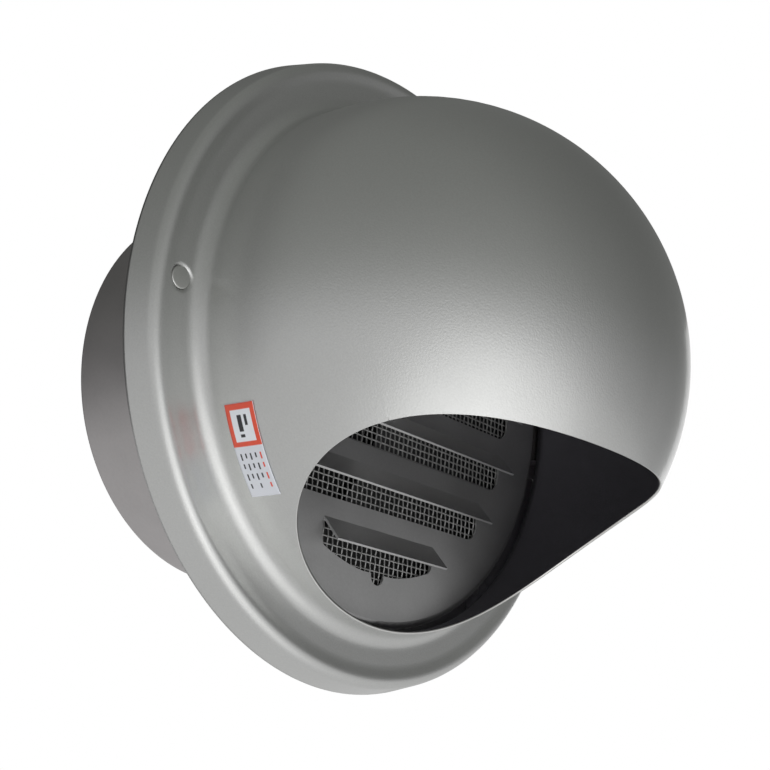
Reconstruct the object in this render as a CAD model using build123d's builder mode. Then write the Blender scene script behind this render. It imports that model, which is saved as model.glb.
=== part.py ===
from build123d import *

import os
from math import acos, cos, degrees, hypot, radians, sin, sqrt

# Frame: the origin is on the duct axis in the plane of the wall, +Y runs into the duct,
# -Y out of the wall, +Z up. All sizes are in millimetres.

# Collar, the spigot that goes into the duct
collar_radius = 48.75
collar_sheet = 0.6
collar_length = 47.5
collar_bend = 1.2

# Base ring, which stands on the wall on its turned-back lip
ring_sheet = 0.8
ring_height = 1.6
ring_bend = 1.0
ring_bore_clearance = 0.25
ring_lip_inset = 3.4

# Hood: dome, neck and beaded flange of one sheet
hood_sheet = 0.6
dome_overhang = 12.65
dome_centre_y = -15.4
neck_foot_y = -6.8
neck_bend = 4.0
face_rise = 0.15
face_bend = 8.0
bead_width = 4.0
bead_rise = 0.95
bead_bend = 2.0
skirt_spread = 1.7
flange_width = 13.6

# Mouth of the hood, cut by a cylinder that lies across it
mouth_radius = 52.0
mouth_rear_y = -9.3
mouth_top_z = -25.8
mouth_back_y = -10.5

# Louvre plate, a shallow pressed cap inside the neck
louvre_sheet = 0.5
louvre_front_y = -8.0
louvre_gap = 0.35
louvre_bend = 1.5
louvre_field_margin = 0.15
louvre_pitch = 14.17
louvre_lift = 0.3
slot_height = 9.7
slot_corner = 3.8
lowest_slot_half = 19.4
lowest_slot_corner = 2.0
slat_standoff = 4.9
slat_drop = 5.2
slat_end_margin = 1.7
drain_notch_radius = 2.2
foot_width = 10.0
foot_reach = 5.6
foot_angles = (45, 135, 225, 315)

# Insect mesh behind the louvre plate
mesh_sheet = 0.4
mesh_edge_clearance = 0.6
mesh_pitch = 9.4
mesh_bar = 1.1
mesh_rim = 2.0
mesh_ridge_width = 0.5
mesh_ridge_height = 0.25

# Rivets
rivet_radius = 1.2
rivet_head_radius = 1.9
rivet_head_height = 0.75
rivet_tail_height = 0.6
rivet_clearance = 0.05
collar_rivet_count = 6

# Hood screws, their dimples and their brackets, at three and nine o'clock
screw_radius = 1.5
screw_head_radius = 2.4
screw_head_height = 0.8
screw_edge_distance = 8.05
screw_tip_y = -2.2
screw_clearance = 0.1
dimple_radius = 2.65
dimple_depth = 0.8
bracket_sheet = 1.0
bracket_width = 7.0
bracket_span = 14.0
bracket_foot = 4.0

# Damper: two half-round blades on one upright shaft near the inner end of the collar
blade_sheet = 0.8
blade_edge_gap = 0.85
shaft_radius = 2.0
shaft_setback = 5.0
shaft_end_inset = 0.1
shaft_seat_clearance = 0.05
knuckle_clearance = 0.08
knuckle_long = 18.0
knuckle_short = 11.0
knuckle_start = 3.0
knuckle_gap = 0.4
hinge_cutback = 4.2

# Torsion springs
spring_wire_radius = 0.5
spring_coil_radius = 2.95
spring_pitch = 1.2
spring_full_turns = 3
spring_leg = 13.0
spring_leg_clearance = 0.05

# Shaft clips
clip_radius = 3.6
clip_sheet = 0.6
clip_groove_depth = 0.4

# Fuse link, two plates soldered face to face between the folded blades
fuse_sheet = 0.5
fuse_width = 12.0
fuse_solder_gap = 0.1
fuse_lap = 12.0
fuse_joggle = 3.0
fuse_foot = 8.0
fuse_setback = 4.0
fuse_rivet_radius = 0.9
fuse_rivet_head_radius = 1.6
fuse_rivet_head_height = 0.5
fuse_rivet_spacing = 6.0

# Blade stops inside the collar
stop_sheet = 0.8
stop_reach = 5.0
stop_arc = 10.0
stop_angles = (-28, 28, 152, 208)
stop_clearance = 0.3
stop_wall_clearance = 0.05
stop_end_inset = 0.2

# Rating label, a thin sticker across the neck and the foot of the dome
label_sheet = 0.15
label_glue = 0.02
label_back_y = -12.8
label_front_y = -20.6
label_start_angle = 203.3
label_arc = 18.4

# Sizes that follow from the ones above
dome_radius = collar_radius + dome_overhang
flange_radius = dome_radius + flange_width
neck_mid_radius = dome_radius - hood_sheet / 2
bead_radius = flange_radius - hood_sheet / 2 - skirt_spread
face_radius = bead_radius - bead_width
face_y = neck_foot_y - face_rise
bead_y = face_y - bead_rise
face_outer_y = face_y - hood_sheet / 2
screw_pitch_radius = flange_radius - screw_edge_distance
mouth_centre_y = mouth_rear_y - mouth_radius
mouth_centre_z = mouth_top_z - mouth_radius

louvre_radius = dome_radius - hood_sheet - louvre_gap
louvre_back_y = louvre_front_y + louvre_sheet
louvre_field_radius = collar_radius + louvre_field_margin
louvre_land = louvre_pitch - slot_height
louvre_rows = int((2 * louvre_field_radius + louvre_land) / louvre_pitch)
lowest_slot_z = louvre_lift - louvre_field_radius
slat_edge_run = louvre_sheet * slat_drop / hypot(slat_drop, slat_standoff)
slat_edge_fall = louvre_sheet * slat_standoff / hypot(slat_drop, slat_standoff)
slat_root_fall = louvre_sheet * (hypot(slat_drop, slat_standoff) - slat_drop) / slat_standoff

ring_front_y = -ring_height
ring_bore = collar_radius + collar_bend + ring_bore_clearance
ring_lip_radius = flange_radius - ring_lip_inset

collar_inner_radius = collar_radius - collar_sheet
collar_mid_radius = collar_radius - collar_sheet / 2
collar_flange_y = ring_front_y - collar_sheet / 2
collar_flange_radius = louvre_radius - louvre_sheet - mesh_edge_clearance
collar_rivet_radius = (ring_bore + collar_flange_radius) / 2

shaft_y = collar_length - shaft_setback
blade_radius = collar_inner_radius - blade_edge_gap
knuckle_bore = shaft_radius + knuckle_clearance
knuckle_outer = knuckle_bore + blade_sheet
spring_leg_x = spring_wire_radius + spring_leg_clearance - knuckle_bore
spring_turns = spring_full_turns + 1 - degrees(acos(spring_leg_x / spring_coil_radius)) / 360
spring_length = spring_pitch * spring_turns + 2 * spring_wire_radius
spring_start = knuckle_start + knuckle_short + knuckle_gap
knuckle_far = spring_start + spring_length + knuckle_gap
clip_z = knuckle_far + knuckle_long + knuckle_gap


def turned_plane(angle):
    """The plane through the duct axis at this angle, its x pointing out and its y along the axis."""
    out = (cos(radians(angle)), 0, sin(radians(angle)))
    return Plane(origin=(0, 0, 0), x_dir=out, z_dir=(-out[2], 0, out[0]))


def level_plane(angle, radius, y):
    """A plane square to the duct axis, at this angle and radius, its z pointing out of the wall."""
    return Plane(
        origin=(radius * cos(radians(angle)), y, radius * sin(radians(angle))),
        x_dir=(1, 0, 0),
        z_dir=(0, -1, 0),
    )


# Hood: the sheet's middle line turned about the duct axis, dimpled for its screws, then cut by the mouth
with BuildPart() as hood:
    with BuildSketch(Plane.XY) as hood_section:
        with BuildLine():
            CenterArc((0, dome_centre_y), neck_mid_radius, 270, 90)
            FilletPolyline(
                (neck_mid_radius, dome_centre_y),
                (neck_mid_radius, neck_foot_y),
                (face_radius, face_y),
                (bead_radius, bead_y),
                (flange_radius - hood_sheet / 2, hood_sheet),
                radius=[neck_bend, face_bend, bead_bend],
            )
        trace(line_width=hood_sheet)
    revolve(axis=Axis.Y)
    split(bisect_by=Plane.XZ, keep=Keep.TOP)
    for angle in (0, 180):
        with BuildSketch(level_plane(angle, screw_pitch_radius, face_outer_y + dimple_depth + hood_sheet)):
            Circle(dimple_radius + hood_sheet)
        extrude(amount=dimple_depth + hood_sheet / 2)
        with BuildSketch(level_plane(angle, screw_pitch_radius, face_outer_y + dimple_depth)):
            Circle(dimple_radius)
        extrude(amount=2 * dimple_depth, mode=Mode.SUBTRACT)
        with BuildSketch(level_plane(angle, screw_pitch_radius, face_outer_y)):
            Circle(screw_radius + screw_clearance)
        extrude(amount=-2 * dimple_depth - hood_sheet, mode=Mode.SUBTRACT)
    with BuildSketch(Plane.YZ) as mouth:
        with Locations((mouth_centre_y, mouth_centre_z)):
            Circle(mouth_radius)
        with Locations((mouth_back_y + flange_radius, mouth_centre_z)):
            Rectangle(2 * flange_radius, 4 * flange_radius, mode=Mode.SUBTRACT)
    extrude(amount=flange_radius, both=True, mode=Mode.SUBTRACT)
hood.part.label = "hood"


# Louvre plate: a shallow cap with lanced slats, standing on the base ring on four riveted feet
slats = [(lowest_slot_z, lowest_slot_half)]
for row in range(1, louvre_rows):
    slot_z = lowest_slot_z + row * louvre_pitch
    widest_z = max(abs(slot_z + slot_corner), abs(slot_z + slot_height))
    slats.append((slot_z, sqrt(louvre_field_radius**2 - widest_z**2) - slat_end_margin))
louvre_rivet_radius = louvre_radius + foot_reach / 2
with BuildPart() as louvre_plate:
    with BuildSketch(Plane.XY):
        with BuildLine():
            FilletPolyline(
                (0, louvre_front_y + louvre_sheet / 2),
                (louvre_radius - louvre_sheet / 2, louvre_front_y + louvre_sheet / 2),
                (louvre_radius - louvre_sheet / 2, ring_front_y),
                radius=louvre_bend,
            )
        trace(line_width=louvre_sheet)
    revolve(axis=Axis.Y)
    for angle in foot_angles:
        with BuildSketch(turned_plane(angle)):
            with Locations((louvre_radius - louvre_sheet, ring_front_y)):
                Rectangle(foot_reach + louvre_sheet, louvre_sheet, align=(Align.MIN, Align.MAX))
        extrude(amount=foot_width / 2, both=True)
        with BuildSketch(level_plane(angle, louvre_rivet_radius, ring_front_y)):
            Circle(rivet_radius + rivet_clearance)
        extrude(amount=2 * louvre_sheet, mode=Mode.SUBTRACT)
    for slot_z, half in slats:
        with BuildSketch(Plane.XZ.offset(-louvre_back_y)) as slot:
            with Locations((0, slot_z)):
                Rectangle(2 * half, slot_height, align=(Align.CENTER, Align.MIN))
            if slot_z == lowest_slot_z:
                Circle(louvre_field_radius, mode=Mode.INTERSECT)
                fillet(slot.vertices().group_by(Axis.Y)[1], lowest_slot_corner)
            else:
                fillet(slot.vertices().group_by(Axis.Y)[0], slot_corner)
        extrude(amount=louvre_sheet, mode=Mode.SUBTRACT)
        root_z = slot_z + slot_height
        with BuildSketch(Plane.YZ):
            Polygon(
                (louvre_back_y, root_z),
                (louvre_front_y, root_z),
                (louvre_front_y - slat_standoff, root_z - slat_drop),
                (louvre_front_y - slat_standoff + slat_edge_run, root_z - slat_drop - slat_edge_fall),
                (louvre_back_y, root_z - slat_root_fall),
                align=None,
            )
        extrude(amount=half, both=True)
    with BuildSketch(Plane.XZ.offset(-louvre_back_y)):
        with Locations((0, -louvre_field_radius)):
            Circle(drain_notch_radius)
    extrude(amount=louvre_sheet, mode=Mode.SUBTRACT)
louvre_plate.part.label = "louvre_plate"

# Insect mesh: a wall of square gaps, with its cross wires standing proud at the back
mesh_radius = louvre_radius - louvre_sheet - mesh_edge_clearance - louvre_bend
mesh_back_y = louvre_back_y + mesh_sheet
mesh_steps = int(mesh_radius / mesh_pitch) + 1
mesh_columns = [mesh_pitch * (step + 0.5) for step in range(-mesh_steps, mesh_steps)]
mesh_gap_half = (mesh_pitch - mesh_bar) / 2
with BuildPart() as insect_mesh:
    with BuildSketch(Plane.XZ.offset(-mesh_back_y)):
        Circle(mesh_radius)
        for x in mesh_columns:
            for z in mesh_columns:
                if hypot(abs(x) + mesh_gap_half, abs(z) + mesh_gap_half) < mesh_radius - mesh_rim:
                    with Locations((x, z)):
                        Rectangle(2 * mesh_gap_half, 2 * mesh_gap_half, mode=Mode.SUBTRACT)
    extrude(amount=mesh_sheet)
    for z in [mesh_pitch * step for step in range(1 - mesh_steps, mesh_steps)]:
        wire_half = sqrt(max((mesh_radius - mesh_rim) ** 2 - z**2, mesh_rim**2))
        with BuildSketch(Plane.XZ.offset(-mesh_back_y)):
            with Locations((0, z)):
                Rectangle(2 * wire_half, mesh_ridge_width)
        extrude(amount=-mesh_ridge_height)
insect_mesh.part.label = "insect_mesh"

# Base ring: a flat ring with its rim turned back to the wall
collar_rivet_angles = [360 / collar_rivet_count * (step + 0.5) for step in range(collar_rivet_count)]
with BuildPart() as base_ring:
    with BuildSketch(Plane.XY):
        with BuildLine():
            FilletPolyline(
                (ring_bore, ring_front_y + ring_sheet / 2),
                (ring_lip_radius - ring_sheet / 2, ring_front_y + ring_sheet / 2),
                (ring_lip_radius - ring_sheet / 2, 0),
                radius=ring_bend,
            )
        trace(line_width=ring_sheet)
    revolve(axis=Axis.Y)
    for radius, angles in ((collar_rivet_radius, collar_rivet_angles), (louvre_rivet_radius, foot_angles)):
        for angle in angles:
            with BuildSketch(level_plane(angle, radius, ring_front_y)):
                Circle(rivet_radius + rivet_clearance)
            extrude(amount=-ring_sheet, mode=Mode.SUBTRACT)
base_ring.part.label = "base_ring"

# Collar: a tube flared on to the base ring, with two seats for the damper's shaft
with BuildPart() as collar:
    with BuildSketch(Plane.XY):
        with BuildLine():
            FilletPolyline(
                (collar_mid_radius, collar_length),
                (collar_mid_radius, collar_flange_y),
                (collar_flange_radius, collar_flange_y),
                radius=collar_bend,
            )
        trace(line_width=collar_sheet)
    revolve(axis=Axis.Y)
    with BuildSketch(Plane.XY):
        with Locations((0, shaft_y)):
            Circle(shaft_radius + shaft_seat_clearance)
    extrude(amount=collar_radius, both=True, mode=Mode.SUBTRACT)
    for angle in collar_rivet_angles:
        with BuildSketch(level_plane(angle, collar_rivet_radius, ring_front_y)):
            Circle(rivet_radius + rivet_clearance)
        extrude(amount=collar_sheet, mode=Mode.SUBTRACT)
collar.part.label = "collar"


def rivet_group(angles, radius, grip):
    """Round-headed rivets along the duct axis through the base ring and a sheet of this grip on its front."""
    with BuildPart() as rivets:
        for angle in angles:
            with BuildSketch(level_plane(angle, radius, ring_front_y + ring_sheet)):
                Circle(rivet_radius)
            extrude(amount=ring_sheet + grip)
            with BuildSketch(level_plane(angle, radius, ring_front_y + ring_sheet)):
                Circle(rivet_head_radius)
            extrude(amount=-rivet_tail_height)
            with BuildSketch(level_plane(angle, radius, ring_front_y - grip)):
                Circle(rivet_head_radius)
            extrude(amount=rivet_head_height, taper=30)
    return rivets.part


collar_rivets = rivet_group(collar_rivet_angles, collar_rivet_radius, collar_sheet)
collar_rivets.label = "collar_rivets"
louvre_rivets = rivet_group(foot_angles, louvre_rivet_radius, louvre_sheet)
louvre_rivets.label = "louvre_rivets"

# Screw brackets: two arched clips on the base ring, under the hood's dimples
bracket_top_y = face_outer_y + dimple_depth + hood_sheet
bracket_mid = bracket_sheet / 2
with BuildPart() as screw_brackets:
    for side in (-1, 1):
        with BuildSketch(Plane.YZ.offset(side * screw_pitch_radius)):
            with BuildLine():
                Polyline(
                    (ring_front_y - bracket_mid, -bracket_span / 2 - bracket_foot),
                    (ring_front_y - bracket_mid, -bracket_span / 2),
                    (bracket_top_y + bracket_mid, -bracket_span / 2 + bracket_mid),
                    (bracket_top_y + bracket_mid, bracket_span / 2 - bracket_mid),
                    (ring_front_y - bracket_mid, bracket_span / 2),
                    (ring_front_y - bracket_mid, bracket_span / 2 + bracket_foot),
                )
            trace(line_width=bracket_sheet)
        extrude(amount=bracket_width / 2, both=True)
        with BuildSketch(level_plane(0, side * screw_pitch_radius, ring_front_y)):
            Circle(screw_radius + screw_clearance)
        extrude(amount=ring_height - bracket_top_y, mode=Mode.SUBTRACT)
screw_brackets.part.label = "screw_brackets"

# Hood screws, flush in their dimples
with BuildPart() as hood_screws:
    for side in (-1, 1):
        with BuildSketch(level_plane(0, side * screw_pitch_radius, screw_tip_y)):
            Circle(screw_radius)
        extrude(amount=screw_tip_y - face_outer_y - dimple_depth)
        with BuildSketch(level_plane(0, side * screw_pitch_radius, face_outer_y + dimple_depth)):
            Circle(screw_head_radius)
        extrude(amount=screw_head_height, taper=8)
hood_screws.part.label = "hood_screws"

# Damper shaft: an upright pin seated in the collar's wall, grooved for its clips and cross-drilled for the springs
shaft_half = collar_radius - shaft_end_inset
with BuildPart() as damper_shaft:
    with BuildSketch(Plane.XY):
        with Locations((0, shaft_y)):
            Circle(shaft_radius)
    extrude(amount=shaft_half, both=True)
    for side in (-1, 1):
        with BuildSketch(Plane.XY.offset(side * clip_z)):
            with Locations((0, shaft_y)):
                Circle(shaft_radius)
                Circle(shaft_radius - clip_groove_depth, mode=Mode.SUBTRACT)
        extrude(amount=side * clip_sheet, mode=Mode.SUBTRACT)
        with BuildSketch(Plane.YZ):
            with Locations((shaft_y, side * (spring_start + spring_wire_radius))):
                Circle(spring_wire_radius + spring_leg_clearance)
        extrude(amount=shaft_radius, both=True, mode=Mode.SUBTRACT)
damper_shaft.part.label = "damper_shaft"

# Shaft clips
with BuildPart() as shaft_clips:
    for side in (-1, 1):
        with BuildSketch(Plane.XY.offset(side * clip_z)):
            with Locations((0, shaft_y)):
                Circle(clip_radius)
                Circle(shaft_radius - clip_groove_depth, mode=Mode.SUBTRACT)
        extrude(amount=side * clip_sheet)
shaft_clips.part.label = "shaft_clips"

# Left blade: a half-round sheet, pointing out of the wall, with two knuckles curled round the shaft
fuse_foot_y = shaft_y - blade_radius + fuse_setback + fuse_lap + fuse_joggle
fuse_rivet_y = fuse_foot_y + fuse_foot / 2
fuse_rivet_zs = (-fuse_rivet_spacing / 2, fuse_rivet_spacing / 2)
left_knuckles = ((-knuckle_start - knuckle_short, knuckle_short), (knuckle_far, knuckle_long))
with BuildPart() as left_blade:
    with BuildSketch(Plane.YZ.offset(-knuckle_outer)):
        with Locations((shaft_y, 0)):
            Circle(blade_radius)
        with Locations((shaft_y - hinge_cutback, 0)):
            Rectangle(2 * blade_radius, 2 * blade_radius, align=(Align.MIN, Align.CENTER), mode=Mode.SUBTRACT)
        for start, length in left_knuckles:
            with Locations((shaft_y, start)):
                Rectangle(2 * hinge_cutback, length, align=(Align.MAX, Align.MIN))
        for z in fuse_rivet_zs:
            with Locations((fuse_rivet_y, z)):
                Circle(fuse_rivet_radius + rivet_clearance, mode=Mode.SUBTRACT)
    extrude(amount=blade_sheet)
    for start, length in left_knuckles:
        with BuildSketch(Plane.XY.offset(start)):
            with Locations((0, shaft_y)):
                Circle(knuckle_outer)
                Circle(knuckle_bore, mode=Mode.SUBTRACT)
        extrude(amount=length)
left_blade.part.label = "left_blade"

# Left spring: a coil round the shaft, one end in the shaft's cross hole and the other along the blade
with BuildPart() as left_spring:
    with BuildLine() as coil:
        Helix(
            spring_pitch,
            spring_pitch * spring_turns,
            spring_coil_radius,
            center=(0, shaft_y, spring_start + spring_wire_radius),
        )
    with BuildSketch(Plane(origin=coil.line @ 0, z_dir=coil.line % 0)):
        Circle(spring_wire_radius)
    sweep(path=coil.line, is_frenet=True)
    with BuildSketch(Plane(origin=coil.line @ 0, z_dir=(-1, 0, 0))):
        Circle(spring_wire_radius)
    extrude(amount=spring_coil_radius + shaft_radius)
    with BuildSketch(Plane(origin=coil.line @ 1, z_dir=(0, -1, 0))):
        Circle(spring_wire_radius)
    extrude(amount=spring_leg)
left_spring.part.label = "left_spring"

# Left fuse plate: a foot on the blade's inner face, stepped in to the soldered lap
lap_x = -(fuse_solder_gap + fuse_sheet) / 2
foot_x = -knuckle_bore + fuse_sheet / 2
with BuildPart() as left_fuse_plate:
    with BuildSketch(Plane.XY):
        with BuildLine():
            Polyline(
                (lap_x, fuse_foot_y - fuse_joggle - fuse_lap),
                (lap_x, fuse_foot_y - fuse_joggle),
                (foot_x, fuse_foot_y),
                (foot_x, fuse_foot_y + fuse_foot),
            )
        trace(line_width=fuse_sheet)
    extrude(amount=fuse_width / 2, both=True)
    with BuildSketch(Plane.YZ.offset(-knuckle_bore)):
        for z in fuse_rivet_zs:
            with Locations((fuse_rivet_y, z)):
                Circle(fuse_rivet_radius + rivet_clearance)
    extrude(amount=fuse_sheet, mode=Mode.SUBTRACT)
left_fuse_plate.part.label = "left_fuse_plate"

# Left fuse rivets: through the blade and the foot of its fuse plate, headed on both sides
fuse_grip = blade_sheet + fuse_sheet
with BuildPart() as left_fuse_rivets:
    for z in fuse_rivet_zs:
        with BuildSketch(Plane.YZ.offset(-knuckle_outer)):
            with Locations((fuse_rivet_y, z)):
                Circle(fuse_rivet_radius)
        extrude(amount=fuse_grip)
        for face_x in (-knuckle_outer - fuse_rivet_head_height, -knuckle_outer + fuse_grip):
            with BuildSketch(Plane.YZ.offset(face_x)):
                with Locations((fuse_rivet_y, z)):
                    Circle(fuse_rivet_head_radius)
            extrude(amount=fuse_rivet_head_height)
left_fuse_rivets.part.label = "left_fuse_rivets"

# The right half of the damper is the left half turned half a turn about the duct axis
left_half = [left_blade.part, left_spring.part, left_fuse_plate.part, left_fuse_rivets.part]
right_half = []
for piece in left_half:
    turned = piece.rotate(Axis.Y, 180)
    turned.label = piece.label.replace("left", "right")
    right_half.append(turned)

# Blade stops: tabs bent in from the collar's wall, just behind the shut blades
stop_mid = stop_sheet / 2
stop_y = shaft_y + knuckle_outer + stop_clearance + stop_mid
stop_wall_radius = collar_inner_radius - stop_wall_clearance - stop_mid
with BuildPart() as blade_stops:
    for angle in stop_angles:
        with BuildSketch(turned_plane(angle - stop_arc / 2)):
            with BuildLine():
                Polyline(
                    (stop_wall_radius + stop_mid - stop_reach, stop_y),
                    (stop_wall_radius, stop_y),
                    (stop_wall_radius, collar_length - stop_end_inset),
                )
            trace(line_width=stop_sheet)
        revolve(axis=Axis.Y, revolution_arc=-stop_arc)
blade_stops.part.label = "blade_stops"

# Rating label: a strip that follows the neck and the foot of the dome
label_mid_radius = dome_radius + label_glue + label_sheet / 2
label_front_radius = sqrt(label_mid_radius**2 - (label_front_y - dome_centre_y) ** 2)
label_mid_y = (label_front_y + dome_centre_y) / 2
label_arc_mid = (sqrt(label_mid_radius**2 - (label_mid_y - dome_centre_y) ** 2), label_mid_y)
with BuildPart() as rating_label:
    with BuildSketch(turned_plane(label_start_angle)):
        with BuildLine():
            Line((label_mid_radius, label_back_y), (label_mid_radius, dome_centre_y))
            ThreePointArc(
                (label_mid_radius, dome_centre_y),
                label_arc_mid,
                (label_front_radius, label_front_y),
            )
        trace(line_width=label_sheet)
    revolve(axis=Axis.Y, revolution_arc=-label_arc)
rating_label.part.label = "rating_label"

os.makedirs("parts", exist_ok=True)
pieces = [
    hood.part,
    louvre_plate.part,
    insect_mesh.part,
    base_ring.part,
    collar.part,
    collar_rivets,
    louvre_rivets,
    screw_brackets.part,
    hood_screws.part,
    damper_shaft.part,
    shaft_clips.part,
    *left_half,
    *right_half,
    blade_stops.part,
    rating_label.part,
]
for piece in pieces:
    export_step(piece, "parts/" + piece.label + ".step")
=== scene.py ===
import bmesh
import bpy
import numpy as np
from mathutils import Matrix, Vector


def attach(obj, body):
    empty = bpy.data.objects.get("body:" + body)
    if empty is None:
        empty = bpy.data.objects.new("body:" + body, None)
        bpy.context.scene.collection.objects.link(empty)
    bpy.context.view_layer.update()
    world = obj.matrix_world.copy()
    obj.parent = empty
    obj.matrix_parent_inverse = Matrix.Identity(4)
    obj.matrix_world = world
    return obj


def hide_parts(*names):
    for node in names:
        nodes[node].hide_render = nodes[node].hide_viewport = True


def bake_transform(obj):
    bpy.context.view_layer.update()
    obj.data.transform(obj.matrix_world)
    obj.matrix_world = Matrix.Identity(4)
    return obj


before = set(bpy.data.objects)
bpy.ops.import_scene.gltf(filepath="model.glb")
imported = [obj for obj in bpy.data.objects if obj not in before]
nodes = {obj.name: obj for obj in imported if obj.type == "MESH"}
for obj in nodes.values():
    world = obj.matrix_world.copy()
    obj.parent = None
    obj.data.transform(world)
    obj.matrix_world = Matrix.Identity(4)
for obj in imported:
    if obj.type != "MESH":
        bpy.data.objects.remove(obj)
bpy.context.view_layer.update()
MM = 0.001

# Sizes in millimetres. Sheets are drawn at the middle of their thickness, as sections (radius, y)
SHEET = 0.6
RING_SHEET = 0.8
LABEL_SHEET = 0.12
NECK_RADIUS = 61.1
NECK_JOIN_Y = -11.3
DOME_CENTRE_Y = -15.4
FACE_Y = -6.95
FLANGE_PATH = [(74.7, 0), (73.0, -7.9), (69.0, FACE_Y), (NECK_RADIUS, -6.8), (NECK_RADIUS, NECK_JOIN_Y)]
FLANGE_BENDS = [2.0, 8.0, 4.0]
FLANGE_STEP = 0.55
MOUTH_RADIUS = 52.0
MOUTH_CENTRE = (-61.3, -77.8)
SCREW_RADIUS = 66.95
DIMPLE_DEPTH = 0.8
DIMPLE_EDGE = (2.5, 2.95)
DIMPLE_BELOW_Y = -4.5
COLLAR_RADIUS = 48.45
COLLAR_LENGTH = 47.5
COLLAR_PATH = [(COLLAR_RADIUS, COLLAR_LENGTH), (COLLAR_RADIUS, -1.9), (59.3, -1.9)]
COLLAR_BEND = 1.2
COLLAR_END_ROW = 0.3
RING_PATH = [(50.25, -1.2), (71.2, -1.2), (71.2, 0)]
RING_BEND = 1.0
ROUND_STEP = 6
ROUND_COLUMNS = 256
SCREW_SIDES = 72
SCREW_CROWN = (2.2, -7.25, 0.06)
SCREW_SIDE = [(2.33, -7.12), (2.39, -6.95), (2.39, -6.46), (1.5, -6.45), (1.45, -2.6), (0.9, -2.22),
              (0, -2.2)]
SHAFT_Y = 42.5
SPRING_RADIUS = 2.95
SPRING_PITCH = 1.2
SPRING_WIRE = 0.5
SPRING_LOW_Z = 14.9
SPRING_LEG_X = -1.53
SPRING_LEG = (0.7, 13)
SPRING_TANG = (-2.0, 2.4)
LABEL_RADIUS = 61.57
LABEL_ANGLES = (203.4, 221.6)
LABEL_Y = (-12.85, -20.55)

# Rows of the hood below and above the mouth, and the thin row beside its edge as a share of each run
LOWER_ROWS, LOWER_EDGE_ROW = 12, 0.99
UPPER_ROWS, UPPER_EDGE_ROW = 40, 0.003
UPPER_CROWDING = 1.4
JUST_INSIDE = 0.99999


# Surfaces

def mesh_piece(name, points, faces, smooth=True):
    """A mesh object at the origin from an array of points in millimetres and a list of faces."""
    mesh = bpy.data.meshes.new(name)
    mesh.from_pydata((np.asarray(points) * MM).tolist(), [], np.asarray(faces).tolist())
    piece = bpy.data.objects.new(name, mesh)
    bpy.context.scene.collection.objects.link(piece)
    merge = bmesh.new()
    merge.from_mesh(mesh)
    bmesh.ops.remove_doubles(merge, verts=merge.verts, dist=1e-7)
    bmesh.ops.dissolve_degenerate(merge, edges=merge.edges, dist=1e-8)
    merge.to_mesh(mesh)
    merge.free()
    mesh.shade_smooth() if smooth else mesh.shade_flat()
    return piece


def grid_faces(rows, columns, closed=False):
    """Quads of a rows by columns grid, its last column joined to its first where it is closed."""
    row, column = np.meshgrid(np.arange(rows - 1), np.arange(columns - (not closed)), indexing="ij")
    after = (column + 1) % columns
    quads = np.stack([row * columns + column, row * columns + after,
                      (row + 1) * columns + after, (row + 1) * columns + column], axis=-1)
    return quads.reshape(-1, 4)


def rounded_path(corners, radii, steps=7):
    """A polyline whose inner corners are circular arcs: each arc turns between the two tangent points at
    radius times the tangent of half the turn, its points on the circle about the corner's bisector."""
    corners = np.asarray(corners, float)
    path = [corners[:1]]
    for before, corner, after, radius in zip(corners[:-2], corners[1:-1], corners[2:], radii):
        inward = (before - corner) / np.linalg.norm(before - corner)
        outward = (after - corner) / np.linalg.norm(after - corner)
        half = np.arccos(np.clip(inward @ outward, -1, 1)) / 2
        bisector = (inward + outward) / np.linalg.norm(inward + outward)
        centre = corner + bisector * radius / np.sin(half)
        start = corner + inward * radius / np.tan(half) - centre
        end = corner + outward * radius / np.tan(half) - centre
        turn = np.pi - 2 * half
        share = np.linspace(0, 1, steps)[:, None]
        path.append(centre + (np.sin((1 - share) * turn) * start + np.sin(share * turn) * end) / np.sin(turn))
    path.append(corners[-1:])
    return np.concatenate(path)


def thin_out(path, spacing):
    """The same path with its long runs divided so that no step is longer than the spacing."""
    steps = np.linalg.norm(np.diff(path, axis=0), axis=1)
    along = np.concatenate([[0], np.cumsum(steps)])
    counts = np.maximum(1, np.ceil(steps / spacing)).astype(int)
    shares = np.concatenate([start + step * np.arange(count) / count
                             for start, step, count in zip(along[:-1], steps, counts)] + [along[-1:]])
    return np.stack([np.interp(shares, along, path[:, axis]) for axis in (0, 1)], axis=1)


def turned(path, angles):
    """Points of a section (radius, y) turned about the duct axis: x = r cos a, z = r sin a, with one row
    per section point."""
    radius, y = path[:, 0:1], path[:, 1:2]
    x, z = radius * np.cos(angles), radius * np.sin(angles)
    return np.stack([x, np.broadcast_to(y, x.shape), z], axis=-1)


def sheet_wall(piece, thickness, inner=0, rim=0):
    """Gives a middle surface its sheet thickness, half to each side."""
    wall = piece.modifiers.new("sheet", "SOLIDIFY")
    wall.thickness = thickness * MM
    wall.offset = 0
    wall.material_offset = inner
    wall.material_offset_rim = rim
    return piece


def rod(path, radius, sides=10):
    """A round wire along a path of level runs: each ring lies in the plane of the upright axis and the path's
    own sideways direction, and the end rings close to a point."""
    path = np.asarray(path, float)
    along = np.gradient(path, axis=0)
    along /= np.linalg.norm(along, axis=1, keepdims=True)
    upright = np.array([0, 0, 1.0]) - along * along[:, 2:3]
    upright /= np.linalg.norm(upright, axis=1, keepdims=True)
    sideways = np.cross(along, upright)
    turn = np.linspace(0, 2 * np.pi, sides, endpoint=False)
    size = np.full(len(path), radius)
    size[[0, -1]] = 0
    rise, reach = np.cos(turn)[None, :, None], np.sin(turn)[None, :, None]
    ring = rise * upright[:, None, :] + reach * sideways[:, None, :]
    points = path[:, None, :] + ring * size[:, None, None]
    return points.reshape(-1, 3), grid_faces(len(path), sides, closed=True)


# Hood

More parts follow.
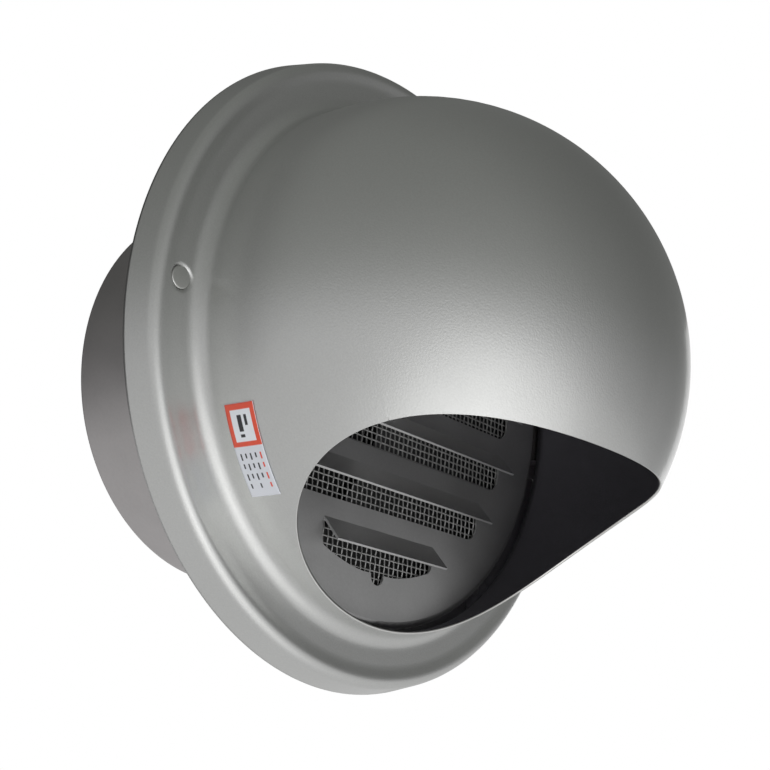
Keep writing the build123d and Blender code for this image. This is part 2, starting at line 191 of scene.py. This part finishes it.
def mouth_side(angle, y, radius):
    """Above nought outside the cylinder that cuts the mouth, below nought inside it."""
    return np.hypot(y - MOUTH_CENTRE[0], radius * np.sin(angle) - MOUTH_CENTRE[1]) - MOUTH_RADIUS


def dome_section(share):
    """The neck's straight run and the dome's quarter circle as one line, from share 0 at the neck to 1 at
    the pole."""
    neck = DOME_CENTRE_Y - NECK_JOIN_Y
    length = -neck + NECK_RADIUS * np.pi / 2
    along = share * length
    turn = np.clip((along + neck) / NECK_RADIUS, 0, np.pi / 2)
    radius = NECK_RADIUS * np.cos(turn)
    y = np.where(along < -neck, NECK_JOIN_Y - along, DOME_CENTRE_Y - NECK_RADIUS * np.sin(turn))
    return radius, y


def mouth_limits(angles, samples=6000):
    """For each angle, the shares at which the section enters and leaves the mouth, by linear steps."""
    share = np.linspace(0, 1, samples)
    radius, y = dome_section(share)
    side = mouth_side(angles[:, None], y[None], radius[None])
    inside = side < 0
    first = np.argmax(inside, axis=1)
    last = samples - 1 - np.argmax(inside[:, ::-1], axis=1)
    rows = np.arange(len(angles))

    def crossing(a, b):
        weight = side[rows, a] / (side[rows, a] - side[rows, b])
        return share[a] + (share[b] - share[a]) * weight

    enter = crossing(np.maximum(first - 1, 0), np.maximum(first, 1))
    leave = crossing(np.minimum(last, samples - 2), np.minimum(last + 1, samples - 1))
    return enter, leave, inside.any(axis=1)


def mouth_reach():
    """The half angle of the mouth about the downward direction, found by halving."""
    low, high = 0.2, 1.5
    for halving in range(40):
        middle = (low + high) / 2
        if mouth_limits(np.array([-np.pi / 2 + middle]))[2][0]:
            low = middle
        else:
            high = middle
    return low


def hood_angles(reach, mouth_columns=190, other_columns=230):
    """Columns round the hood: across the mouth four fifths sine-spaced and one fifth even, so that they
    crowd at its two corners, and elsewhere evenly spaced but crowded at three and nine o'clock, where the
    dimples are."""
    share = np.linspace(-1, 1, mouth_columns)
    across = -np.pi / 2 + reach * (0.8 * np.sin(share * np.pi / 2) + 0.2 * share)
    rest = np.linspace(-np.pi / 2 + reach, 3 * np.pi / 2 - reach, 4001)
    crowd = 1 + sum(7 * np.exp(-((rest - at) / 0.055) ** 2) for at in (0, np.pi))
    count = np.concatenate([[0], np.cumsum((crowd[1:] + crowd[:-1]) / 2)])
    others = np.interp(np.linspace(0, count[-1], other_columns + 2)[1:-1], count, rest)
    return np.concatenate([across, others])


def smooth_step(low, high, value):
    """Rises from 0 at low to 1 at high with level ends."""
    share = np.clip((value - low) / (high - low), 0, 1)
    return share * share * (3 - 2 * share)


def hood_shell():
    """The hood's middle surface. The flange section is turned right round and dimpled at its two screws.
    Above it, each column runs from the neck to the mouth's lower edge and from its upper edge to the pole;
    away from the mouth both runs meet at the height of the mouth's corners. A thin row beside the mouth
    keeps the cut edge's shading off the faces next to it."""
    reach = mouth_reach()
    angles = hood_angles(reach)
    flange = thin_out(rounded_path(FLANGE_PATH, FLANGE_BENDS, steps=12), FLANGE_STEP)
    skirt = turned(flange, angles)
    for side in (-1, 1):
        away = np.hypot(skirt[..., 0] - side * SCREW_RADIUS, skirt[..., 2])
        sunk = 1 - smooth_step(*DIMPLE_EDGE, away)
        floor = FACE_Y + DIMPLE_DEPTH
        skirt[..., 1] += (floor - skirt[..., 1]) * sunk * (skirt[..., 1] < DIMPLE_BELOW_Y)
    enter, leave, open_here = mouth_limits(angles)
    inner_reach = reach * JUST_INSIDE
    corner = mouth_limits(np.array([-np.pi / 2 + inner_reach]))
    corner_share = (corner[0][0] + corner[1][0]) / 2
    on_mouth = np.abs(np.angle(np.exp(1j * (angles + np.pi / 2)))) < inner_reach
    enter = np.where(on_mouth & open_here, enter, corner_share)
    leave = np.where(on_mouth & open_here, leave, corner_share)
    lower = np.insert(np.linspace(0, 1, LOWER_ROWS), -1, LOWER_EDGE_ROW)[:, None] * enter
    rise = np.insert(np.linspace(0, 1, UPPER_ROWS), 1, UPPER_EDGE_ROW)[:, None]
    upper = (corner_share + (1 - corner_share) * rise
             + (leave - corner_share) * (1 - rise) ** UPPER_CROWDING)
    points = [skirt.reshape(-1, 3)]
    faces = [grid_faces(len(flange), len(angles), True)]
    start = skirt[..., 0].size
    for shares in (lower, upper):
        radius, y = dome_section(shares)
        band = np.stack([radius * np.cos(angles), y, radius * np.sin(angles)], axis=-1)
        points.append(band.reshape(-1, 3))
        faces.append(grid_faces(len(shares), len(angles), True) + start)
        start += radius.size
    return np.concatenate(points), np.concatenate(faces)


hood = mesh_piece("hood_sheet", *hood_shell())
sheet_wall(hood, SHEET, inner=1, rim=2)
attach(hood, "vent_body")
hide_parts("hood")

# Collar and base ring. A thin row at the collar's free end keeps its edge's shading off the tube

round_angles = np.linspace(0, 2 * np.pi, ROUND_COLUMNS, endpoint=False)
collar_line = thin_out(rounded_path(COLLAR_PATH, [COLLAR_BEND]), ROUND_STEP)
collar_line = np.insert(collar_line, 1, (COLLAR_RADIUS, COLLAR_LENGTH - COLLAR_END_ROW), axis=0)
collar = mesh_piece("collar_tube", turned(collar_line, round_angles).reshape(-1, 3),
                    grid_faces(len(collar_line), len(round_angles), True))
sheet_wall(collar, SHEET, inner=1)
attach(collar, "vent_body")
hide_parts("collar")

ring_line = thin_out(rounded_path(RING_PATH, [RING_BEND]), ROUND_STEP)
base_ring = mesh_piece("base_ring_sheet", turned(ring_line, round_angles).reshape(-1, 3),
                       grid_faces(len(ring_line), len(round_angles), True))
sheet_wall(base_ring, RING_SHEET)
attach(base_ring, "vent_body")
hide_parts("base_ring")

# Insect mesh

def woven_wires(pitch=1.65, wire=0.2, lift_by=0.1, radius=57.3, y=-7.0, sides=5):
    """Plain weave in the plane y: wires along X and Z at every pitch, each rising and falling as a cosine,
    warp over where weft is under. A wire is clipped to the disc, and closes to a point at its ends."""
    count = int(radius / pitch)
    along = np.arange(-2 * count - 2, 2 * count + 3) * pitch / 2
    offset = (np.arange(-count, count + 1) * pitch)[:, None]
    half = np.sqrt(radius ** 2 - offset ** 2)
    run = np.clip(along[None], -half, half)
    lift = lift_by * np.cos(np.pi * run / pitch + np.pi * np.round(offset / pitch))
    size = wire * (np.abs(along[None]) < half)
    turn = np.linspace(0, 2 * np.pi, sides, endpoint=False)
    wires = len(offset)
    first = grid_faces(len(along), sides, closed=True)
    points, faces = [], []
    for direction, sign in ((0, 1), (2, -1)):
        place = np.zeros((wires, len(along), sides, 3))
        place[..., direction] = run[:, :, None]
        place[..., 2 - direction] = offset[:, :, None] + size[:, :, None] * np.cos(turn)
        place[..., 1] = y + sign * lift[:, :, None] + size[:, :, None] * np.sin(turn)
        moving = np.abs(np.diff(run, axis=1)) > 1e-9
        keep = np.repeat(moving, sides, axis=1)
        start = (np.arange(wires) * len(along) * sides)[:, None, None] + len(points) * place[..., 0].size
        faces.append((first[None] + start)[keep])
        points.append(place.reshape(-1, 3))
    faces[0] = faces[0][:, ::-1]
    return np.concatenate(points), np.concatenate(faces)


weave = mesh_piece("mesh_weave", *woven_wires())
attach(weave, "vent_body")
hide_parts("insect_mesh")

# Screws

def screw_surface(side):
    """A flat-headed screw turned about its own axis: a faintly crowned disc, its shank and its blunt tip."""
    share = np.linspace(0, 1, 16)
    width, top, fall = SCREW_CROWN
    profile = np.concatenate([np.stack([width * share, top + fall * share ** 2], 1), SCREW_SIDE])
    points = turned(profile, np.linspace(0, 2 * np.pi, SCREW_SIDES, endpoint=False))
    points[..., 0] += side * SCREW_RADIUS
    return points.reshape(-1, 3), grid_faces(len(profile), SCREW_SIDES, True)


left_screw, right_screw = screw_surface(-1), screw_surface(1)
screws = mesh_piece("hood_screw_pair", np.concatenate([left_screw[0], right_screw[0]]),
                    np.concatenate([left_screw[1], right_screw[1] + len(left_screw[0])]))
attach(screws, "vent_body")
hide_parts("hood_screws")

# Springs

def spring_path(side):
    """A tang through the shaft, a helix of between three and four turns round it, and a straight leg along
    the blade."""
    turns = 4 - np.degrees(np.arccos(SPRING_LEG_X / SPRING_RADIUS)) / 360
    turn = np.linspace(0, turns * 2 * np.pi, 150)
    coil = np.stack([SPRING_RADIUS * np.cos(turn), SHAFT_Y + SPRING_RADIUS * np.sin(turn),
                     SPRING_LOW_Z + SPRING_PITCH * turn / (2 * np.pi)], 1)
    tang = np.stack([np.linspace(*SPRING_TANG, 8), np.full(8, SHAFT_Y), np.full(8, SPRING_LOW_Z)], 1)
    end_x, end_y, end_z = coil[-1]
    near, far = SPRING_LEG
    leg = np.stack([np.full(12, end_x), np.linspace(end_y - near, end_y - far, 12), np.full(12, end_z)], 1)
    path = np.concatenate([tang, coil, leg])
    return path * np.array([side, 1, side])


for name, side in (("left", 1), ("right", -1)):
    spring = mesh_piece(name + "_spring_wire", *rod(spring_path(side), SPRING_WIRE))
    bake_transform(spring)
    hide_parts(name + "_spring")

# Label

def label_patch(columns=64, rows=28):
    """The sticker: a patch just above the outside of the neck and dome."""
    angle = np.radians(np.linspace(*LABEL_ANGLES, columns))
    y = np.linspace(*LABEL_Y, rows)[:, None]
    radius = np.sqrt(np.maximum(LABEL_RADIUS ** 2 - np.minimum(y - DOME_CENTRE_Y, 0) ** 2, 0))
    level = np.broadcast_to(y, (rows, columns))
    points = np.stack([radius * np.cos(angle), level, radius * np.sin(angle)], -1)
    return points.reshape(-1, 3), grid_faces(rows, columns)


label = mesh_piece("label_sticker", *label_patch())

# The print's UV runs once round the label and once along it
flat = label.data.uv_layers.new(name="print")
place = np.zeros(len(label.data.vertices) * 3)
label.data.vertices.foreach_get("co", place)
place = place.reshape(-1, 3) / MM
corner_vertex = np.zeros(len(label.data.loops), int)
label.data.loops.foreach_get("vertex_index", corner_vertex)
round_angle = np.degrees(np.arctan2(place[:, 2], place[:, 0])) % 360
round_share = (round_angle - LABEL_ANGLES[0]) / (LABEL_ANGLES[1] - LABEL_ANGLES[0])
along_share = (LABEL_Y[0] - place[:, 1]) / (LABEL_Y[0] - LABEL_Y[1])
flat.data.foreach_set("uv", np.stack([round_share, along_share], 1)[corner_vertex].ravel())
sheet_wall(label, LABEL_SHEET)
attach(label, "vent_body")
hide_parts("rating_label")


# Finishes

def socket_group(name, inputs, outputs):
    """A shader node group with named sockets, and its input and output nodes."""
    group = bpy.data.node_groups.new(name, "ShaderNodeTree")
    for label_text, kind, value in inputs:
        socket = group.interface.new_socket(label_text, in_out="INPUT", socket_type=kind)
        if value is not None:
            socket.default_value = value
    for label_text, kind in outputs:
        group.interface.new_socket(label_text, in_out="OUTPUT", socket_type=kind)
    return group, group.nodes.new("NodeGroupInput"), group.nodes.new("NodeGroupOutput")


def maths(tree, operation, first, second=None, clamp=False):
    """One maths node; numbers are set on its sockets and sockets are linked."""
    node = tree.nodes.new("ShaderNodeMath")
    node.operation = operation
    node.use_clamp = clamp
    for slot, value in ((0, first), (1, second)):
        if value is None:
            continue
        if isinstance(value, (int, float)):
            node.inputs[slot].default_value = value
        else:
            tree.links.new(value, node.inputs[slot])
    return node.outputs[0]


def sheet_grain_group():
    """Grain of a sheet: a fine speck and a slow cloud, as a tint, a roughness and a bump."""
    group, entry, leave = socket_group(
        "sheet_grain",
        [("Tone", "NodeSocketColor", (0.6, 0.6, 0.58, 1)), ("Speck", "NodeSocketFloat", 0.1),
         ("Cloud", "NodeSocketFloat", 0.1), ("Speck Scale", "NodeSocketFloat", 1800.0),
         ("Cloud Scale", "NodeSocketFloat", 28.0), ("Roughness", "NodeSocketFloat", 0.35),
         ("Relief", "NodeSocketFloat", 0.08)],
        [("Color", "NodeSocketColor"), ("Roughness", "NodeSocketFloat"), ("Normal", "NodeSocketVector")])
    place = group.nodes.new("ShaderNodeTexCoord")
    fine = group.nodes.new("ShaderNodeTexNoise")
    fine.inputs["Detail"].default_value = 2
    slow = group.nodes.new("ShaderNodeTexNoise")
    slow.inputs["Detail"].default_value = 4
    link = group.links.new
    link(place.outputs["Object"], fine.inputs["Vector"])
    link(place.outputs["Object"], slow.inputs["Vector"])
    link(entry.outputs["Speck Scale"], fine.inputs["Scale"])
    link(entry.outputs["Cloud Scale"], slow.inputs["Scale"])
    speck, cloud = (maths(group, "MULTIPLY", maths(group, "SUBTRACT", noise.outputs["Fac"], 0.5),
                          entry.outputs[depth]) for noise, depth in ((fine, "Speck"), (slow, "Cloud")))
    tint = maths(group, "ADD", 1.0, maths(group, "ADD", speck, cloud))
    scaled = group.nodes.new("ShaderNodeVectorMath")
    scaled.operation = "SCALE"
    link(entry.outputs["Tone"], scaled.inputs[0])
    link(tint, scaled.inputs["Scale"])
    link(scaled.outputs[0], leave.inputs["Color"])
    uneven = maths(group, "MULTIPLY", cloud, 0.6)
    rough = maths(group, "ADD", entry.outputs["Roughness"], uneven, clamp=True)
    link(rough, leave.inputs["Roughness"])
    bump = group.nodes.new("ShaderNodeBump")
    bump.inputs["Distance"].default_value = 0.0002
    link(entry.outputs["Relief"], bump.inputs["Strength"])
    link(fine.outputs["Fac"], bump.inputs["Height"])
    link(bump.outputs["Normal"], leave.inputs["Normal"])
    return group


SHEET_GRAIN = sheet_grain_group()


def metal(name, tone, roughness, speck=0.1, cloud=0.12, speck_scale=1800.0, cloud_scale=28.0,
          relief=0.08, coat=0.0):
    """A bare metal: the sheet grain with this finish's own values."""
    finish = bpy.data.materials.new(name)
    finish.use_nodes = True
    tree = finish.node_tree
    shader = tree.nodes["Principled BSDF"]
    shader.inputs["Metallic"].default_value = 1.0
    shader.inputs["Coat Weight"].default_value = coat
    shader.inputs["Coat Roughness"].default_value = 0.12
    grain = tree.nodes.new("ShaderNodeGroup")
    grain.node_tree = SHEET_GRAIN
    for socket, value in (("Tone", (*tone, 1)), ("Speck", speck), ("Cloud", cloud),
                          ("Speck Scale", speck_scale), ("Cloud Scale", cloud_scale),
                          ("Roughness", roughness), ("Relief", relief)):
        grain.inputs[socket].default_value = value
    tree.links.new(grain.outputs["Color"], shader.inputs["Base Color"])
    tree.links.new(grain.outputs["Roughness"], shader.inputs["Roughness"])
    tree.links.new(grain.outputs["Normal"], shader.inputs["Normal"])
    return finish


PRINT_SHARPNESS = 120.0


def print_field_group():
    """A soft-edged box in the print's own UV: 1 between the limits, 0 outside them."""
    group, entry, leave = socket_group(
        "print_field",
        [("Place", "NodeSocketVector", None), ("Left", "NodeSocketFloat", 0.0),
         ("Right", "NodeSocketFloat", 1.0), ("Low", "NodeSocketFloat", 0.0),
         ("High", "NodeSocketFloat", 1.0)],
        [("Mask", "NodeSocketFloat")])
    parts = group.nodes.new("ShaderNodeSeparateXYZ")
    group.links.new(entry.outputs["Place"], parts.inputs[0])
    masks = []
    for axis, low, high in (("X", "Left", "Right"), ("Y", "Low", "High")):
        place = parts.outputs[axis]
        sides = [maths(group, "MULTIPLY", maths(group, "SUBTRACT", more, less), PRINT_SHARPNESS, clamp=True)
                 for more, less in ((place, entry.outputs[low]), (entry.outputs[high], place))]
        masks.append(maths(group, "MULTIPLY", *sides))
    group.links.new(maths(group, "MULTIPLY", *masks), leave.inputs["Mask"])
    return group


def label_print(name):
    """Sticker film: a pale ground, a red frame round a white window with plain bars, and rows of plain
    dashes. Each layer is a box (left, right, low, high) in the print's UV, and its colour."""
    finish = bpy.data.materials.new(name)
    finish.use_nodes = True
    tree = finish.node_tree
    shader = tree.nodes["Principled BSDF"]
    shader.inputs["Roughness"].default_value = 0.42
    field = print_field_group()
    flat_place = tree.nodes.new("ShaderNodeUVMap")
    flat_place.uv_map = "print"
    red, ink, white = (0.80, 0.10, 0.055, 1), (0.02, 0.02, 0.025, 1), (0.86, 0.89, 0.94, 1)
    layers = [((0.0, 0.455, 0.0, 1.0), red), ((0.065, 0.405, 0.15, 0.86), white),
              ((0.12, 0.30, 0.36, 0.52), ink), ((0.12, 0.24, 0.60, 0.70), ink),
              ((0.32, 0.36, 0.36, 0.52), ink)]
    for row in range(5):
        for dash in range(4 - row % 2):
            left, low = 0.52 + 0.11 * dash, 0.14 + 0.17 * row
            length = 0.08 - 0.02 * ((row + dash) % 2)
            layers.append(((left, left + length, low, low + 0.06), red if row == 4 else ink))
    shade = (0.76, 0.78, 0.84, 1)
    for (left, right, low, high), colour in layers:
        box = tree.nodes.new("ShaderNodeGroup")
        box.node_tree = field
        tree.links.new(flat_place.outputs["UV"], box.inputs["Place"])
        for socket, value in (("Left", left), ("Right", right), ("Low", low), ("High", high)):
            box.inputs[socket].default_value = value
        mix = tree.nodes.new("ShaderNodeMix")
        mix.data_type = "RGBA"
        tree.links.new(box.outputs["Mask"], mix.inputs["Factor"])
        if isinstance(shade, tuple):
            mix.inputs["A"].default_value = shade
        else:
            tree.links.new(shade, mix.inputs["A"])
        mix.inputs["B"].default_value = colour
        shade = mix.outputs["Result"]
    tree.links.new(shade, shader.inputs["Base Color"])
    return finish


def dress(piece, *finishes):
    """Puts these finishes on a piece, in order."""
    piece.data.materials.clear()
    for finish in finishes:
        piece.data.materials.append(finish)


silver = metal("satin_silver", (0.60, 0.605, 0.595), 0.36, speck=0.16, cloud=0.06, speck_scale=2600,
               relief=0.16, coat=0.3)
# Painted shade: the hood's inside is the silver sheet given a much darker tone, for the shade inside the hood
silver_painted_shade_inside = metal("hood_inside_painted_shade", (0.17, 0.165, 0.185), 0.55, speck=0.12, cloud=0.15, relief=0.1)
cut_edge = metal("cut_edge", (0.78, 0.78, 0.76), 0.3, speck=0.08, cloud=0.2, cloud_scale=120)
pressed = metal("pressed_sheet", (0.50, 0.50, 0.50), 0.5, speck=0.12, cloud=0.14, cloud_scale=60, relief=0.1)
louvre = metal("louvre_sheet", (0.56, 0.56, 0.56), 0.42, speck=0.12, cloud=0.14, cloud_scale=60, relief=0.1)
# Painted shade: the blades and their stops are given a near-black tone, for the shade inside the duct
blade_painted_shade = metal("blade_dark_painted_shade", (0.07, 0.07, 0.072), 0.5, speck=0.12, cloud=0.14, cloud_scale=60,
                    relief=0.1)
# Painted shade: the collar's inside face is given a near-black tone, for the shade inside the duct
duct_inside_painted_shade = metal("duct_inside_painted_shade", (0.07, 0.07, 0.072), 0.5, speck=0.1, cloud=0.15, cloud_scale=90)
galvanised = metal("dull_galvanised", (0.47, 0.453, 0.453), 0.45, speck=0.1, cloud=0.15,
                   speck_scale=1400, cloud_scale=90)
wire = metal("mesh_wire", (0.45, 0.45, 0.445), 0.42, speck=0.1, cloud=0.3, cloud_scale=200)
screw_metal = metal("screw_steel", (0.60, 0.605, 0.585), 0.36, speck=0.14, cloud=0.08,
                    speck_scale=2600, coat=0.3)
drawn_bar = metal("drawn_bar", (0.55, 0.55, 0.53), 0.3, speck=0.08, cloud=0.2, cloud_scale=200)
spring_metal = metal("spring_wire", (0.40, 0.40, 0.39), 0.36, speck=0.08, cloud=0.2, cloud_scale=300)
rivet_metal = metal("rivet_aluminium", (0.70, 0.70, 0.69), 0.4, speck=0.1, cloud=0.2, cloud_scale=300)
brass = metal("rolled_brass", (0.72, 0.55, 0.26), 0.34, speck=0.1, cloud=0.2, cloud_scale=150)
film = label_print("label_film")

dress(hood, silver, silver_painted_shade_inside, cut_edge)
dress(collar, galvanised, duct_inside_painted_shade)
dress(base_ring, pressed)
dress(weave, wire)
dress(screws, screw_metal)
dress(label, film)
for name in ("left_spring_wire", "right_spring_wire"):
    dress(bpy.data.objects[name], spring_metal)
for finish, names in (
        (louvre, ("louvre_plate",)), (blade_painted_shade, ("left_blade", "right_blade", "blade_stops")),
        (galvanised, ("screw_brackets",)), (drawn_bar, ("damper_shaft",)), (spring_metal, ("shaft_clips",)),
        (rivet_metal, ("collar_rivets", "louvre_rivets", "left_fuse_rivets", "right_fuse_rivets")),
        (brass, ("left_fuse_plate", "right_fuse_plate"))):
    for name in names:
        dress(nodes[name], finish)

# Floor, light and camera

FLOOR_RADIUS, FLOOR_Z, FLOOR_SIDES = 0.7, -0.125, 128
FLOOR_GLOW, FLOOR_GLOW_TO_EYE, FLOOR_SHARE_TO_EYE = 0.6, 0.4, 0.85


def backdrop_material():
    """A floor that is near white to the eye, with a faint shadow left in it, dimmer in reflections, and a
    plain matt surface to all other light."""
    finish = bpy.data.materials.new("floor_white")
    finish.use_nodes = True
    tree = finish.node_tree
    matt = tree.nodes["Principled BSDF"]
    matt.inputs["Base Color"].default_value = (0.86, 0.86, 0.86, 1)
    matt.inputs["Roughness"].default_value = 0.9
    glow = tree.nodes.new("ShaderNodeEmission")
    glow.inputs["Color"].default_value = (1, 1, 1, 1)
    path = tree.nodes.new("ShaderNodeLightPath")
    seen = maths(tree, "MULTIPLY", path.outputs["Is Camera Ray"], FLOOR_GLOW_TO_EYE)
    tree.links.new(maths(tree, "ADD", seen, FLOOR_GLOW), glow.inputs["Strength"])
    mix = tree.nodes.new("ShaderNodeMixShader")
    mirrored = maths(tree, "MAXIMUM", path.outputs["Is Glossy Ray"], path.outputs["Is Transmission Ray"])
    faced = maths(tree, "MULTIPLY", path.outputs["Is Camera Ray"], FLOOR_SHARE_TO_EYE)
    tree.links.new(maths(tree, "MAXIMUM", mirrored, faced), mix.inputs["Fac"])
    tree.links.new(matt.outputs[0], mix.inputs[1])
    tree.links.new(glow.outputs[0], mix.inputs[2])
    tree.links.new(mix.outputs[0], tree.nodes["Material Output"].inputs["Surface"])
    return finish


floor_mesh = bpy.data.meshes.new("floor")
floor_turn = np.linspace(0, 2 * np.pi, FLOOR_SIDES, endpoint=False)
floor_rim = [(FLOOR_RADIUS * np.cos(turn), FLOOR_RADIUS * np.sin(turn), FLOOR_Z) for turn in floor_turn]
floor_mesh.from_pydata(floor_rim, [], [range(FLOOR_SIDES)])
floor = bpy.data.objects.new("floor", floor_mesh)
bpy.context.scene.collection.objects.link(floor)
floor_mesh.materials.append(backdrop_material())
floor.visible_shadow = False


def studio_world():
    """White to the eye; to the object a soft room, bright low down in front, dim overhead and to the right,
    and dark behind."""
    world = bpy.data.worlds.new("studio")
    bpy.context.scene.world = world
    world.use_nodes = True
    tree = world.node_tree
    room = tree.nodes["Background"]
    eye = tree.nodes.new("ShaderNodeBackground")
    eye.inputs["Color"].default_value = (1, 1, 1, 1)
    path = tree.nodes.new("ShaderNodeLightPath")
    place = tree.nodes.new("ShaderNodeTexCoord")
    parts = tree.nodes.new("ShaderNodeSeparateXYZ")
    tree.links.new(place.outputs["Generated"], parts.inputs[0])
    ramp = tree.nodes.new("ShaderNodeValToRGB")
    ramp.color_ramp.elements[0].position = 0.0
    ramp.color_ramp.elements[0].color = (1.0, 1.0, 1.0, 1)
    ramp.color_ramp.elements[1].position = 1.0
    ramp.color_ramp.elements[1].color = (0.235, 0.242, 0.23, 1)
    middle = ramp.color_ramp.elements.new(0.5)
    middle.color = (0.66, 0.66, 0.665, 1)
    upper = ramp.color_ramp.elements.new(0.66)
    upper.color = (0.335, 0.341, 0.33, 1)
    height = maths(tree, "ADD", maths(tree, "MULTIPLY", parts.outputs["Z"], 0.5), 0.5)
    tree.links.new(height, ramp.inputs["Fac"])
    tree.links.new(ramp.outputs["Color"], room.inputs["Color"])
    falls = []
    for axis, low, high, near, far in (("Y", 0.4, 0.8, 0.9, 0.12), ("X", -0.1, 0.7, 1.05, 0.52)):
        fall = tree.nodes.new("ShaderNodeMapRange")
        for socket, value in (("From Min", low), ("From Max", high), ("To Min", near), ("To Max", far)):
            fall.inputs[socket].default_value = value
        tree.links.new(parts.outputs[axis], fall.inputs["Value"])
        falls.append(fall.outputs["Result"])
    tree.links.new(maths(tree, "MULTIPLY", *falls), room.inputs["Strength"])
    mix = tree.nodes.new("ShaderNodeMixShader")
    tree.links.new(path.outputs["Is Camera Ray"], mix.inputs["Fac"])
    tree.links.new(room.outputs[0], mix.inputs[1])
    tree.links.new(eye.outputs[0], mix.inputs[2])
    tree.links.new(mix.outputs[0], tree.nodes["World Output"].inputs["Surface"])


studio_world()


def soft_lamp(name, toward, distance, size, power):
    """A square soft lamp on the line from the object's middle in this direction, facing back at it."""
    lamp = bpy.data.lights.new(name, "AREA")
    lamp.size = size
    lamp.energy = power
    holder = bpy.data.objects.new(name, lamp)
    direction = Vector(toward).normalized()
    facing = direction.to_track_quat("Z", "Y").to_matrix().to_4x4()
    holder.matrix_world = Matrix.Translation(direction * distance) @ facing
    bpy.context.scene.collection.objects.link(holder)


soft_lamp("front_panel", (-0.25, -0.75, -0.62), 0.9, 0.62, 5.6)
soft_lamp("side_fill", (0.95, 0.28, 0.15), 1.1, 0.5, 0.8)
soft_lamp("back_lamp", (0.45, 0.89, 0.05), 1.2, 0.6, 3.0)

# The camera fitted to the photograph: its size and middle in pixels, where the object's origin falls in it,
# the flange radius in pixels, and the distance in flange radii
PHOTO_SIZE, PHOTO_MIDDLE, SENSOR = 770, 385, 36
ORIGIN_X, ORIGIN_Y = 368.9, 373.7
FLANGE_PIXELS, DISTANCE_SHARE = 312.1, 4.2
CAMERA_DISTANCE = 0.315
CAMERA_ANGLES = [-48.33, -16.86, 5.16]

camera = bpy.data.cameras.new("photo_view")
camera.sensor_width = SENSOR
camera.lens = FLANGE_PIXELS * DISTANCE_SHARE * SENSOR / PHOTO_SIZE
camera.shift_x = (PHOTO_MIDDLE - ORIGIN_X) / PHOTO_SIZE
camera.shift_y = (ORIGIN_Y - PHOTO_MIDDLE) / PHOTO_SIZE
camera.clip_start = 0.01
azimuth, elevation, roll = np.radians(CAMERA_ANGLES)
back = np.array([np.sin(azimuth) * np.cos(elevation), -np.cos(azimuth) * np.cos(elevation),
                 np.sin(elevation)])
level = np.array([np.cos(azimuth), np.sin(azimuth), 0])
upward = np.cross(back, level)
right = np.cos(roll) * level + np.sin(roll) * upward
top = -np.sin(roll) * level + np.cos(roll) * upward
view = bpy.data.objects.new("photo_view", camera)
axes, position = np.stack([right, top, back], 1).tolist(), (back * CAMERA_DISTANCE).tolist()
view.matrix_world = Matrix([[*row, place] for row, place in zip(axes, position)] + [[0, 0, 0, 1]])
bpy.context.scene.collection.objects.link(view)
bpy.context.scene.camera = view
bpy.context.scene.view_settings.view_transform = "Standard"

bpy.context.view_layer.update()
